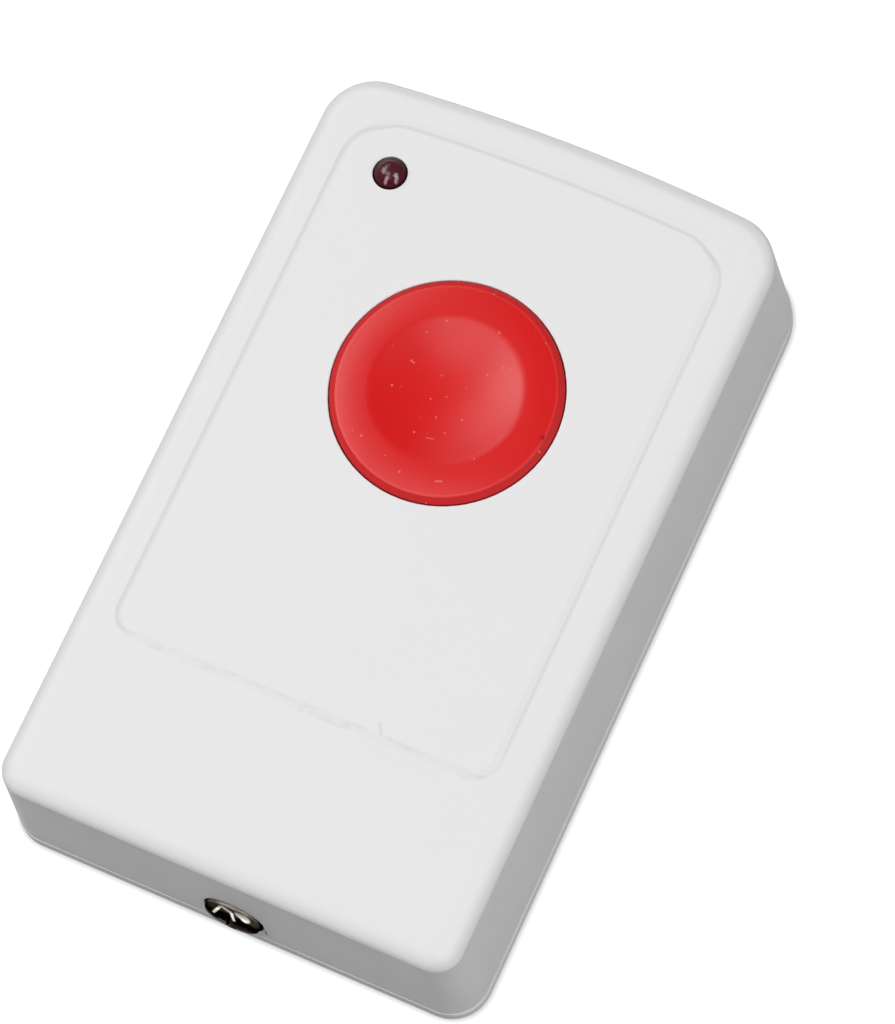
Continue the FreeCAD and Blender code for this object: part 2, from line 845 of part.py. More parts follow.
def snap_dome():
    """Thin sprung disc in the switch's well."""
    rise = dome_height - dome_thickness
    low = dome_low() + press_gap / 2
    rise = rise - press_gap / 2
    ball = (dome_radius ** 2 + rise ** 2) / (2 * rise)
    centre = Vector(0, 0, low + rise - ball)
    outside = Part.makeSphere(ball + dome_thickness, centre)
    inside = Part.makeSphere(ball, centre)
    disc = outside.cut(inside).common(rod(0, 0, low, low + dome_height, dome_radius))
    disc.translate(Vector(0, button_y, 0))
    return disc


def switch_terminals():
    """Four legs from the switch's sides down through the board."""
    legs = []
    side_face = switch_width / 2
    for x, y in terminal_places():
        side = math.copysign(1, x)
        outer = side_face + plunger_clearance + terminal_thickness
        low_x, high_x = sorted((side * side_face, side * outer))
        shoulder = box(low_x, high_x, y - terminal_width / 2, y + terminal_width / 2,
                       board_top + switch_floor / 2, board_top + switch_floor)
        low_x, high_x = sorted((side * (outer - terminal_thickness), side * outer))
        leg = box(low_x, high_x, y - terminal_width / 2, y + terminal_width / 2,
                  board_bottom - lead_below_board, board_top + switch_floor)
        legs.append(shoulder.fuse(leg).removeSplitter())
    group = Part.makeCompound(legs)
    group.translate(Vector(0, button_y, 0))
    return group


def chip_middle_y():
    return board_span()[2] + chip_from_board_end


def encoder_chip():
    """Moulded body of the encoder, just clear of the board."""
    low = board_top + chip_stand_off
    body = box(-chip_length / 2, chip_length / 2, -chip_width / 2, chip_width / 2, low, low + chip_height)
    edges = level_edges(body, low + chip_height)
    body = body.makeChamfer(chip_height / 8, edges)
    body.translate(Vector(0, chip_middle_y(), 0))
    return body


def encoder_pins():
    """Two rows of gull-wing pins."""
    root = board_top + chip_stand_off + chip_height / 2
    foot = board_top
    edge = chip_width / 2
    knee = edge + pin_reach - pin_foot
    thick = pin_thickness
    outline = [(edge, root), (edge, root + thick), (knee, root + thick), (knee, foot + thick),
               (edge + pin_reach, foot + thick), (edge + pin_reach, foot), (knee - thick, foot),
               (knee - thick, root)]
    pins = []
    for side in (-1, 1):
        for k in range(pins_per_side):
            x = (k - (pins_per_side - 1) / 2) * pin_pitch - pin_width / 2
            face = polygon([Vector(x, side * y, z) for y, z in outline])
            pins.append(face.extrude(Vector(pin_width, 0, 0)))
    group = Part.makeCompound(pins)
    group.translate(Vector(0, chip_middle_y(), 0))
    return group


def resonator_can():
    """Round metal can of the resonator that sets the radio's frequency."""
    x, y = can_place()
    brim = rod(x, y, board_top, board_top + can_brim_height, can_brim_radius)
    can = rod(x, y, board_top, board_top + can_height, can_radius)
    can = can.makeChamfer(can_brim_height, level_edges(can, board_top + can_height))
    return brim.fuse(can).removeSplitter()


def resonator_pins():
    return Part.makeCompound([rod(x, y, board_bottom - lead_below_board, board_top, can_pin_radius)
                              for x, y in can_pins()])


def radio_transistor():
    """Small moulded transistor between the chip and the resonator's side of the board."""
    x, y = can_place()
    x = x + can_brim_radius + transistor_length
    body = box(x - transistor_length / 2, x + transistor_length / 2, y - transistor_width / 2,
               y + transistor_width / 2, board_top + pin_thickness / 2, board_top + transistor_height)
    feet = []
    for dx, side in ((-transistor_length / 3, -1), (transistor_length / 3, -1), (0, 1)):
        inner = y + side * (transistor_width / 2 - transistor_foot)
        outer = y + side * (transistor_width / 2 + transistor_foot)
        feet.append(box(x + dx - pin_width / 2, x + dx + pin_width / 2, min(inner, outer),
                        max(inner, outer), board_top, board_top + pin_thickness))
    return body.fuse(feet).removeSplitter()


def chip_part_row(x, count, height):
    """Like chip parts in a row beside the button, each with its two end caps."""
    low = board_span()[2] + boss_from_battery_edge + boss_radius + chip_part_pitch / 2
    parts = []
    for k in range(count):
        y = low + k * chip_part_pitch + chip_part_width / 2
        parts.append(box(x - chip_part_length / 2, x + chip_part_length / 2, y - chip_part_width / 2,
                         y + chip_part_width / 2, board_top, board_top + height))
    return Part.makeCompound(parts)


def chip_resistors():
    return chip_part_row(board_span()[0] + chip_part_from_side, resistor_count, resistor_height)


def chip_capacitors():
    return chip_part_row(board_span()[1] - chip_part_from_side, capacitor_count, capacitor_height)


def loop_aerial():
    """Flat tinned loop under the board, open towards the battery."""
    low = board_span()[2] + aerial_from_board_end
    high = button_y + aerial_past_button
    loop = box(-aerial_half_span, aerial_half_span, low, high, board_bottom - aerial_thickness, board_bottom)
    inner = aerial_half_span - aerial_width
    window = box(-inner, inner, low - 1, high - aerial_width, 0, case_height)
    return loop.cut(window)


def battery():
    """The 12 V cell, a sealed can with its nub."""
    start, low, high, end = contact_row()
    can = rod_x(low, high, battery_y(), battery_z, battery_radius)
    can = can.makeChamfer(battery_edge_bevel, [e for e in can.Edges if e.BoundBox.XLength < 1e-3])
    nub = rod_x(high, high + battery_nub_height, battery_y(), battery_z, battery_nub_diameter / 2)
    return can.fuse(nub).removeSplitter()


def contact_plate(face):
    """Sprung sheet plate with an arm to the board and a tab through it."""
    low_y = battery_y() - contact_width / 2
    high_y = battery_y() + contact_width / 2
    low_z = contact_top() - contact_height
    tab_end = contact_tab_y() + contact_tab_width
    outline = [(low_y, low_z), (high_y, low_z), (high_y, board_bottom - contact_arm_height),
               (tab_end, board_bottom - contact_arm_height), (tab_end, board_top + contact_tab_rise),
               (contact_tab_y(), board_top + contact_tab_rise), (contact_tab_y(), board_bottom),
               (high_y, board_bottom), (high_y, contact_top()), (low_y, contact_top())]
    return polygon([Vector(face, y, z) for y, z in outline]).extrude(Vector(contact_thickness, 0, 0))


def spring_contact():
    return contact_plate(contact_row()[0])


def nub_contact():
    return contact_plate(contact_row()[3] - contact_thickness)


def battery_spring():
    """Tapered coil spring between its plate and the flat end of the cell."""
    start, low, high, end = contact_row()
    rise = spring_length - 2 * spring_wire_radius - 2 * pilot_clearance
    pitch = rise / spring_turns
    taper = -math.degrees(math.atan2(spring_radius - spring_small_radius, rise))
    helix = Part.makeHelix(pitch, rise, spring_radius, taper)
    section = Part.Wire(Part.makeCircle(spring_wire_radius, Vector(spring_radius, 0, 0), Vector(0, 1, 0)))
    coil = Part.Wire(helix.Edges).makePipeShell([section], True, True)
    coil.rotate(Vector(0, 0, 0), Vector(0, 1, 0), 90)
    coil.translate(Vector(start + contact_thickness + spring_wire_radius + pilot_clearance,
                          battery_y(), battery_z))
    return coil


makers = {
    "front_cover": front_cover,
    "back_cover": back_cover,
    "end_screw": end_screw,
    "panic_button": panic_button,
    "lamp_lens": lamp_lens,
    "lamp_leads": lamp_leads,
    "circuit_board": circuit_board,
    "board_screws": board_screws,
    "switch_housing": switch_housing,
    "switch_frame": switch_frame,
    "switch_plunger": switch_plunger,
    "snap_dome": snap_dome,
    "switch_terminals": switch_terminals,
    "encoder_chip": encoder_chip,
    "encoder_pins": encoder_pins,
    "resonator_can": resonator_can,
    "resonator_pins": resonator_pins,
    "radio_transistor": radio_transistor,
    "chip_resistors": chip_resistors,
    "chip_capacitors": chip_capacitors,
    "loop_aerial": loop_aerial,
    "battery": battery,
    "spring_contact": spring_contact,
    "nub_contact": nub_contact,
    "battery_spring": battery_spring,
}

os.makedirs("parts", exist_ok=True)
for name, maker in makers.items():
    shape = maker()
    shape.exportStep("parts/" + name + ".step")
    size = shape.BoundBox
    print(f"{name:18s} solids {len(shape.Solids)} valid {shape.isValid()} volume {shape.Volume:9.2f}"
          f"  x {size.XMin:7.2f} {size.XMax:7.2f}  y {size.YMin:7.2f} {size.YMax:7.2f}"
          f"  z {size.ZMin:6.2f} {size.ZMax:6.2f}")
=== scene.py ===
# %% [markdown]
# # Wireless panic button
#
# A small alarm transmitter lies on its back: a white moulded case, a round red push button, a dark red
# indicator lamp and one screw in the end wall. Its solids come from the CAD model and stay as they are.
# This notebook gives each of them its finish, and sets up the floor, the light and the camera.
#
# ## Load the solids
#
# Everything is in metres, with +Z out of the face, +Y towards the lamp end and the origin in the middle
# of the back. The box of the solids is kept, so that the finished model can be compared with it.

# %% Load the frame
import math

import bpy
from mathutils import Matrix, Vector

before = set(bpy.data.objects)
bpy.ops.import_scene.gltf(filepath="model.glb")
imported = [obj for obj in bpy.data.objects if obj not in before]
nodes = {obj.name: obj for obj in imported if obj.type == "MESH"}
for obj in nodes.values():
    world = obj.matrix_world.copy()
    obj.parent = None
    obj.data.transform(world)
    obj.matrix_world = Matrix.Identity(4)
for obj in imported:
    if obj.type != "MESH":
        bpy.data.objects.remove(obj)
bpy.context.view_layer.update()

# %% [markdown]
# ## Shader maths as Python
#
# A finish is a node tree. Wrapping each output socket in a small class lets a formula be written as an
# expression: adding, taking away and multiplying sockets makes the Math nodes. One number that is the
# same all over a surface is written straight into the shader's own socket instead. One function makes
# every node, so that its settings always come before its sockets, which some of them change.

# %% A socket that can be calculated with
class Wire:
    """An output socket of a node tree, used like a number in an expression."""

    def __init__(self, tree, socket):
        self.tree = tree
        self.socket = socket

    def maths(self, operation, *values, clamp=False):
        settings = {"operation": operation, "use_clamp": clamp}
        return Wire(self.tree, add_node(self.tree, "Math", settings, values).outputs[0])

    def __add__(self, other):
        return self.maths("ADD", self, other)

    def __radd__(self, other):
        return self.maths("ADD", other, self)

    def __sub__(self, other):
        return self.maths("SUBTRACT", self, other)

    def __rsub__(self, other):
        return self.maths("SUBTRACT", other, self)

    def __mul__(self, other):
        return self.maths("MULTIPLY", self, other)

    def __rmul__(self, other):
        return self.maths("MULTIPLY", other, self)

    def __truediv__(self, other):
        return self.maths("DIVIDE", self, other)

    def __rtruediv__(self, other):
        return self.maths("DIVIDE", other, self)

    def __abs__(self):
        return self.maths("ABSOLUTE", self)

    def least(self, other):
        return self.maths("MINIMUM", self, other)

    def most(self, other):
        return self.maths("MAXIMUM", self, other)

    def clamped(self):
        return self.maths("ADD", self, 0, clamp=True)

    def fraction(self):
        return self.maths("FRACT", self)

    def whole(self):
        return self.maths("FLOOR", self)

    def sine(self):
        return self.maths("SINE", self)

    def cosine(self):
        return self.maths("COSINE", self)

    def root(self):
        return self.maths("SQRT", self)

    def rise(self, start, end):
        """0 below start, 1 above end and a smooth step between."""
        settings = {"interpolation_type": "SMOOTHSTEP"}
        return Wire(self.tree, add_node(self.tree, "MapRange", settings, (self, start, end)).outputs[0])


def connect(tree, value, socket):
    """Links a wire to a socket, or writes a plain value into it."""
    if isinstance(value, Wire):
        tree.links.new(value.socket, socket)
    else:
        socket.default_value = value


def add_node(tree, kind, settings=None, values=(), **inputs):
    """Makes a node: its settings first, then what goes into its sockets, by place or by name."""
    made = tree.nodes.new("ShaderNode" + kind)
    for key, value in (settings or {}).items():
        setattr(made, key, value)
    for place, value in enumerate(values):
        connect(tree, value, made.inputs[place])
    for key, value in inputs.items():
        connect(tree, value, made.inputs[key.replace("_", " ")])
    return made


def reach(across, along):
    """The distance that two steps at right angles make."""
    return (across * across + along * along).root()


def band(value, middle, half):
    """1 where value is at middle, falling smoothly to 0 at half away from it."""
    return 1 - abs(value - middle).rise(0, half)


def stroke(across, along, start, end, half):
    """1 on the straight line from start to end, falling to 0 at half beside it."""
    run = (end[0] - start[0], end[1] - start[1])
    square = run[0] ** 2 + run[1] ** 2
    share = ((across - start[0]) * (run[0] / square) + (along - start[1]) * (run[1] / square)).clamped()
    beside = reach(across - start[0] - share * run[0], along - start[1] - share * run[1])
    full_share = 0.3
    return 1 - beside.rise(full_share * half, half)


def strokes(across, along, marks):
    """Several strokes added up, each given by its start, its end and its half width."""
    return sum(stroke(across, along, start, end, half) for start, end, half in marks)


print("a wire can be added, multiplied, clamped and stepped")

# %% [markdown]
# ## A finish and its nodes
#
# A finish is one material. Its helper makes any node in one call, and gives the few textures that a
# moulding or a plated part needs: soft grain, dust specks and straight rubbing marks. Their sizes are
# real ones in metres, so the grain keeps its scale on every piece.

# %% A finish with its nodes
class Finish:
    """A material whose nodes are made one call at a time."""

    def __init__(self, name):
        self.material = bpy.data.materials.new(name)
        self.material.use_nodes = True
        self.tree = self.material.node_tree
        self.tree.nodes.clear()

    def node(self, kind, settings=None, output=0, values=(), **inputs):
        """Makes a node in the finish and gives one of its outputs."""
        return Wire(self.tree, add_node(self.tree, kind, settings, values, **inputs).outputs[output])

    def split(self, vector):
        axes = add_node(self.tree, "SeparateXYZ", Vector=vector).outputs
        return [Wire(self.tree, axis) for axis in axes]

    def place(self):
        """The point on the piece: as a vector in metres, and as x, y and z in millimetres."""
        vector = self.node("TexCoord", output="Object")
        mm_per_m = 1000
        return [vector] + [mm_per_m * axis for axis in self.split(vector)]

    def facing(self):
        """Which way the surface faces, as x, y and z."""
        return self.split(self.node("TexCoord", output="Normal"))

    def stretch(self, vector, x, y, z):
        return self.node("VectorMath", {"operation": "MULTIPLY"}, values=(vector, (x, y, z)))

    def noise(self, vector, size, detail=3.0, roughness=0.55):
        """Soft grain whose patches are about size metres across, from 0 to 1."""
        return self.node("TexNoise", Vector=vector, Scale=1.0 / size, Detail=detail, Roughness=roughness)

    def specks(self, vector, spacing, radius, share, flat=False):
        """Small separate dots: 1 on a dot, 0 between. Only a share of the places has one."""
        cells = add_node(self.tree, "TexVoronoi", {"voronoi_dimensions": "2D" if flat else "3D"},
                         Vector=vector, Scale=1.0 / spacing)
        chance = self.split(Wire(self.tree, cells.outputs["Color"]))
        size = radius / spacing
        uneven_size = 0.4 + chance[1]
        dot = 1 - (Wire(self.tree, cells.outputs["Distance"]) / uneven_size).rise(0.5 * size, size)
        return dot * (1 - chance[0].rise(share, share + 0.01))

    def rubs(self, vector, size, turn, rarity):
        """Straight rubbing marks that lie turned by an angle about the z axis."""
        length = 40 * size
        laid = self.node("Mapping", {"vector_type": "TEXTURE"}, Vector=vector, Rotation=(0, 0, turn),
                         Scale=(size, length, size))
        return self.node("TexNoise", Vector=laid, Scale=1.0, Detail=1.0).rise(rarity, rarity + 0.08)

    def mixed(self, kind, output, first_input, factor, first, second):
        """Mixes two values. A Mix node keeps other sockets for each kind, so their places are given."""
        mix = add_node(self.tree, "Mix", {"data_type": kind}, (factor,))
        for place, value in ((first_input, first), (first_input + 1, second)):
            connect(self.tree, value, mix.inputs[place])
        return Wire(self.tree, mix.outputs[output])

    def blend(self, factor, first, second):
        """The first colour where the factor is 0, the second where it is 1."""
        return self.mixed("RGBA", 2, 6, factor, first, second)

    def between(self, factor, first, second):
        """The same for two directions."""
        return self.mixed("VECTOR", 1, 4, factor, first, second)

    def relief(self, height, depth, strength=1.0, facing=None):
        """A bump whose full height is depth metres, on the surface as it faces."""
        surface_normal = {"Normal": facing} if facing else {}
        return self.node("Bump", Height=height, Distance=depth, Strength=strength, **surface_normal)

    def finish(self, shader):
        add_node(self.tree, "OutputMaterial", Surface=shader)
        return self.material

    def surface(self, **inputs):
        return self.finish(self.node("BsdfPrincipled", **inputs))


def colour(red, green, blue):
    return (red, green, blue, 1)


def dress(material, *names):
    """Gives CAD nodes a material in all their slots."""
    for name in names:
        slots = nodes[name].data.materials
        for place in range(max(1, len(slots))):
            if place < len(slots):
                slots[place] = material
            else:
                slots.append(material)
    print(material.name, "on", ", ".join(names))


# %% [markdown]
# ## The panel's outline
#
# The front cover has a shallow panel round the button, and a fine line of painted shade runs along its edge. To
# draw that line, a finish has to know how far each point lies from the panel's edge. This is a signed distance,
# worked out from the
# same sizes as the moulding: straight sides, a low edge and the arc of the lamp end, with small rounded
# corners at the screw end and larger ones at the lamp end. A painted texture would do it too, but it would
# blur when seen close.

# %% Panel outline
panel_half_width = 18.0
panel_low_edge = -20.2
panel_lamp_edge = 32.5
panel_crown = 198.125
panel_screw_corner = 2.6
panel_lamp_corner = 4.9


def panel_distance(x, y):
    """Millimetres outside the panel's outline; negative on the panel."""
    crown_centre = panel_lamp_edge - panel_crown
    corner = panel_screw_corner + (panel_lamp_corner - panel_screw_corner) * y.rise(-1, 1)
    side = abs(x) - panel_half_width + corner
    end = (panel_low_edge - y).most(reach(x, y - crown_centre) - panel_crown) + corner
    return reach(side.most(0), end.most(0)) + side.most(end).least(0) - corner


print("panel", 2 * panel_half_width, "mm wide and", panel_lamp_edge - panel_low_edge, "mm long")

# %% [markdown]
# ## The panel's painted edge shade and the marks
#
# Along the panel's edge a line of painted shade marks the crease: crisp along the sides and at the lamp end,
# soft and patchy at the screw end, where it also wanders. On the right a second, fainter band of painted shade
# runs inside it. A few smudges and one short tick lie along the low edge, and a dark mark sits on the end wall
# beside the screw. All of them are where the photographed cover has them, in millimetres from the middle of the
# case.

# %% Panel edge shade and marks
def panel_edge_shade(look, vector, x, y, out, patchy):
    """How dark the painted shade along the panel's edge is."""
    side = abs(x).rise(15.2, 17.4)
    right_side = x.rise(14, 17)
    lamp_end = y.rise(-2, 2) * (1 - side)
    screw_end = (1 - y.rise(-12, -8)) * (1 - side)
    wander = screw_end * (0.3 * look.noise(vector, 0.0016, detail=4.0) - 0.15)
    inset = 0.17 + 0.47 * lamp_end + 0.51 * screw_end
    faint = 1 - 0.5 * x.rise(12, 15) * (1 - y.rise(-19, -15))
    crisp = 0.12 * side + 0.03 * right_side + 0.15 * lamp_end + (0.03 + 0.07 * patchy) * screw_end
    # painted shade: a thin line in the crease at the panel's edge
    line = faint * crisp * band(out + inset + wander, 0, 0.32)
    # painted shade: fainter, wider bands inside it on the right and at the lamp end
    return line + 0.05 * right_side * band(out, -0.62, 0.45) + 0.035 * lamp_end * band(out, -0.2, 0.4)


def low_edge_marks(look, vector, x, y):
    """The smudges along the panel's low edge and the tick across it."""
    smudge = strokes(x, y, (((-14.6, -20.1), (-12.9, -19.85), 0.38), ((-10.3, -20.1), (-7.9, -19.75), 0.38),
                            ((0.4, -20.05), (4.7, -19.95), 0.38), ((15.3, -20.1), (17.1, -19.5), 0.38)))
    mottled = look.noise(vector, 0.0012, detail=3.0).rise(0.4, 0.6)
    return smudge * mottled * 0.06 + stroke(x, y, (7.1, -18.55), (7.5, -19.3), 0.24) * 0.1


def mark_beside_screw(x, y, z):
    """A dark mark inside a fainter one, on the end wall beside the screw."""
    # the colour is darkened here: strongly on a short stroke, faintly on a wider one
    dark = stroke(x, z, (3.22, 3.7), (3.16, 2.7), 0.17) * 0.6
    pale = stroke(x, z, (2.85, 4.2), (3.5, 2.9), 0.3) * 0.12
    end_wall = 1 - y.rise(-36.3, -36.2)
    return (dark + pale) * end_wall


print("line, smudges, tick and scuff")

# %% [markdown]
# ## White front cover
#
# The cover is moulded in white ABS with a satin, faintly grained face. Its top edge is rounded, but it
# stays flatter than a quarter circle and meets the wall in a visible line. This is too slight to build, so
# the finish turns the surface's facing up by a share of its tilt there. On the right the rounding is
# brighter than these lamps make it, so its colour is painted lighter there as painted light. At the lamp
# end the rounding's colour is painted a little darker as painted shade.

# %% Front cover
def turned_up(look, share):
    """Which way the surface faces, turned up by a share of its tilt."""
    normal_x, normal_y, normal_z = look.facing()
    level = reach(normal_x, normal_y)
    tilt = (1 - share) * level.maths("ARCTAN2", level, normal_z)
    sideways = tilt.sine() / level.most(0.001)
    return look.node("CombineXYZ", values=(normal_x * sideways, normal_y * sideways, tilt.cosine()))


def top_rounding(look, z, out):
    """Where the top edge is rounded, where painted light makes it lighter and where painted shade makes it
    darker.
    """
    normal_x, normal_y, _ = look.facing()
    level = reach(normal_x, normal_y)
    to_right = normal_x / level.most(0.001)
    rounding = z.rise(13.25, 13.29) * out.rise(0.6, 0.8) * to_right.rise(-0.95, -0.6)
    # painted light on the right-hand rounding
    painted_light = rounding * to_right.rise(0.3, 0.9) * level.rise(0.0, 1.0)
    # painted shade on the lamp-end rounding, by which way it faces
    painted_shade = rounding * normal_y.rise(0.1, 0.4) * band(level, 0.5, 0.4)
    return rounding, painted_light, painted_shade


def front_plastic():
    look = Finish("shell_white")
    vector, x, y, z = look.place()
    cloud = look.noise(vector, 0.012)
    patchy = look.noise(vector, 0.0022, detail=4.0).rise(0.42, 0.62)
    grain = look.noise(vector, 0.00022, detail=2.0)
    out = panel_distance(x, y)
    rounding, painted_light, painted_shade = top_rounding(look, z, out)
    # the painted shade along the panel's edge, plus the marks along its low edge
    marks = panel_edge_shade(look, vector, x, y, out, patchy) + low_edge_marks(look, vector, x, y)
    on_face = z.rise(14.3, 14.6)
    dust = look.specks(vector, 0.004, 0.00009, 0.5) * 0.12
    # darkened by the painted shade along the panel's edge and on the lamp-end rounding, by dust and by the mark
    # beside the screw
    dark = on_face * marks + dust + mark_beside_screw(x, y, z) + 0.08 * painted_shade
    white = look.blend(cloud, colour(0.80, 0.80, 0.80), colour(0.79, 0.79, 0.792))
    # painted light lightens the colour on the right-hand rounding
    white = look.blend(painted_light, white, colour(0.91, 0.91, 0.91))
    return look.surface(Base_Color=look.blend(dark, white, colour(0.05, 0.05, 0.05)),
                        Roughness=0.50 + 0.06 * cloud + 0.05 * patchy,
                        Normal=look.relief(grain, 0.00002, 0.1, turned_up(look, 0.4 * rounding)),
                        IOR=1.5, Specular_IOR_Level=0.25)


dress(front_plastic(), "front_cover")

# %% [markdown]
# ## White back cover
#
# The back cover is the same plastic with a coarser, spark-eroded face, as such backs usually have. It is
# what the case slides about on, so its level outside carries fine rubbing marks in two directions and a
# little grey in its low spots. On the right the photograph shows its upper edge as a thin pale line. The
# lamps alone don't make it, so a painted highlight makes the colour paler there, and its facing is turned up.

# %% Back cover
def back_plastic():
    look = Finish("back_white")
    vector, x, _, z = look.place()
    _, _, normal_z = look.facing()
    cloud = look.noise(vector, 0.01)
    eroded = look.noise(vector, 0.00014, detail=3.0, roughness=0.7)
    under = 1 - normal_z.rise(-0.95, -0.85)
    rubbed = (look.rubs(vector, 0.00012, 0.5, 0.62) + look.rubs(vector, 0.0001, 1.9, 0.64)).clamped()
    grey = under * (0.05 * rubbed + 0.05 * cloud.rise(0.5, 0.7))
    # painted highlight: a thin band along the upper edge on the right
    edge = band(z, 1.25, 0.35).rise(0.1, 0.3) * x.rise(20, 21)
    white = look.blend(cloud, colour(0.80, 0.80, 0.80), colour(0.785, 0.785, 0.785))
    # the painted highlight lightens the colour on that band
    white = look.blend(edge, white, colour(0.98, 0.98, 0.98))
    return look.surface(Base_Color=look.blend(grey, white, colour(0.12, 0.12, 0.12)),
                        Roughness=0.5 + 0.1 * eroded - 0.12 * under * rubbed,
                        Normal=look.relief(eroded, 0.00002, 0.2, turned_up(look, 0.4 * edge)),
                        IOR=1.5, Specular_IOR_Level=0.25)


dress(back_plastic(), "back_cover")

# %% [markdown]
# ## The button's crest
#
# Between its dish and its side the button has a crest, which slopes down outwards more and more, like a
# flat parabola, and then turns quickly into the steeper side. A mesh keeps such a slope only at its
# corners, and one wrong corner shows as a dark patch on a glossy part. So the way that the crest faces is
# worked out from its sizes here.

# %% Button crest
button_y = 10.35
dish_radius = 6.95
crest_width = 2.67
crest_drop = 0.25
rim_start, rim_end = 9.586, 9.647
side_steeper = 0.57


def crest_facing(look, x, y, z, radius):
    """Which way the button faces from its crest down its side, as it was drawn."""
    crest_slope = 2 * crest_drop / crest_width ** 2
    crest = (radius - dish_radius).least(rim_start - dish_radius) * crest_slope
    slope = crest + side_steeper * radius.rise(rim_start, rim_end)
    outwards = slope / radius.most(1)
    drawn = look.node("CombineXYZ", values=(outwards * x, outwards * (y - button_y), 1.0))
    where = radius.rise(7.6, 8.2) * z.rise(14.93, 14.97)
    facing = look.between(where, look.node("TexCoord", output="Normal"), drawn)
    return look.node("VectorMath", {"operation": "NORMALIZE"}, values=(facing,))


print("crest from", dish_radius, "to", rim_start, "mm")

# %% [markdown]
# ## Red button
#
# The button is moulded through in red with a satin face that reflects the lamps softly. Its sloping side
# is a duller ring whose colour is darkened as painted shade, and its rim has a thin painted highlight line.
# Pale dust and lint lie on the real one in small separate specks. A random pattern scatters most of them,
# and the few that stand out are set one by one where the photographed button has them.

# %% Red button
dust_spots = ((-4.0, 11.8), (-4.6, 9.1), (2.1, 16.8), (2.2, 8.6), (-5.0, 3.8), (-2.6, 16.1), (-0.6, 2.1))
threads = (((0.1, 5.9), (0.7, 6.05), 0.06), ((2.6, 2.5), (3.1, 2.7), 0.1))


def button_dust(look, vector, x, y, z):
    """1 on a speck of dust or lint."""
    lint = look.stretch(vector, 0.45, 1.2, 1)
    dust = look.specks(vector, 0.0012, 0.00009, 0.12, True) + look.specks(lint, 0.0018, 0.00007, 0.08, True)
    for spot_x, spot_y in dust_spots:
        dust = dust + (1 - reach(x - spot_x, y - spot_y).rise(0.04, 0.15))
    on_top = z.rise(14.0, 14.2)
    return ((dust + strokes(x, y, threads)) * on_top).clamped()


def button_plastic():
    look = Finish("button_red")
    vector, x, y, z = look.place()
    radius = reach(x, y - button_y)
    cloud = look.noise(vector, 0.004)
    grain = look.noise(vector, 0.0001, detail=2.0)
    dust = button_dust(look, vector, x, y, z)
    # the sloping side ring: its colour is darkened as painted shade, and it is made duller
    shaded_ring = radius.rise(9.6, 9.7)
    body = look.blend(cloud, colour(0.71, 0.010, 0.011), colour(0.68, 0.009, 0.010))
    # painted highlight: a thin lighter line on the rim
    painted_edge_colour = look.blend(band(radius, 9.5, 0.12) * 0.5, body, colour(0.80, 0.06, 0.06))
    # painted shade: the sloping side ring is darker
    ringed = look.blend(shaded_ring, painted_edge_colour, colour(0.60, 0.009, 0.011))
    dusty = look.blend(dust * 0.25, ringed, colour(0.85, 0.62, 0.60))
    return look.surface(Base_Color=dusty, Roughness=0.30 + 0.05 * cloud + 0.4 * shaded_ring + 0.1 * dust,
                        Normal=look.relief(grain, 0.00001, 0.1, crest_facing(look, x, y, z, radius)), IOR=1.45)


dress(button_plastic(), "panic_button")

# %% [markdown]
# ## Indicator lamp
#
# The lamp's body is clear epoxy dyed dark red. Its edge is darkened nearly to black as painted shade, and the
# ends of its two leads show through the dome as two pale bars. Real glass-like epoxy would need light traced
# through it, so the bars are drawn into the surface instead, under a clear coat that gives the gloss.

# %% Lamp body
lamp_x, lamp_y = -13.05, 26.9
lead_ends = (((-12.93, 25.78), (-12.91, 26.12), 0.2), ((-12.12, 26.2), (-12.14, 26.55), 0.2))


def lamp_plastic():
    look = Finish("lamp_red")
    vector, x, y, z = look.place()
    radius = reach(x - lamp_x, y - lamp_y)
    cloud = look.noise(vector, 0.0009)
    on_dome = z.rise(14.4, 14.7)
    body = look.blend(cloud, colour(0.06, 0.006, 0.012), colour(0.10, 0.012, 0.02))
    bars = look.blend(strokes(x, y, lead_ends).clamped() * on_dome * 0.8, body, colour(0.50, 0.32, 0.37))
    # painted shade: the dome's edge is darkened nearly to black
    painted_edge_colour = look.blend(radius.rise(1.30, 1.47) * 0.85, bars, colour(0.012, 0.002, 0.004))
    return look.surface(Base_Color=painted_edge_colour, Roughness=0.4 + 0.1 * cloud, Specular_IOR_Level=0.1,
                        Coat_Weight=1 - radius.rise(0.85, 1.1), Coat_Roughness=0.12, Coat_IOR=1.5,
                        Normal=look.relief(cloud, 0.00003, 0.2))


dress(lamp_plastic(), "lamp_lens")

# %% [markdown]
# ## End screw
#
# The screw is steel with a dark nickel plating, polished enough to mirror its surroundings. On one side of
# its rounding and in strokes above the cross the colour is lightened as painted highlights, and its flank
# near the wall, where it faces up, is painted lighter as a painted reflection. The highlights run on
# over the edge of the head, so they are laid out along a slant that joins the face to its flank.

# %% End screw
screw_x, screw_z, head_top = 0.35, 4.75, -37.5
slant_across, slant_up, flattening = 1.64, 6.7, 0.3
# painted highlights: strokes and patches on the head, each as start, end and half width along the slant
glint_strokes = (((-1.03, 0.86), (0.38, 2.17), 0.15), ((0.64, 2.17), (1.24, 1.92), 0.27),
                  ((1.24, 1.85), (0.9, 0.9), 0.2))
glint_patches = (((1.95, 1.95), (2.75, 2.0), 0.42), ((2.2, 1.5), (2.6, 1.7), 0.35))


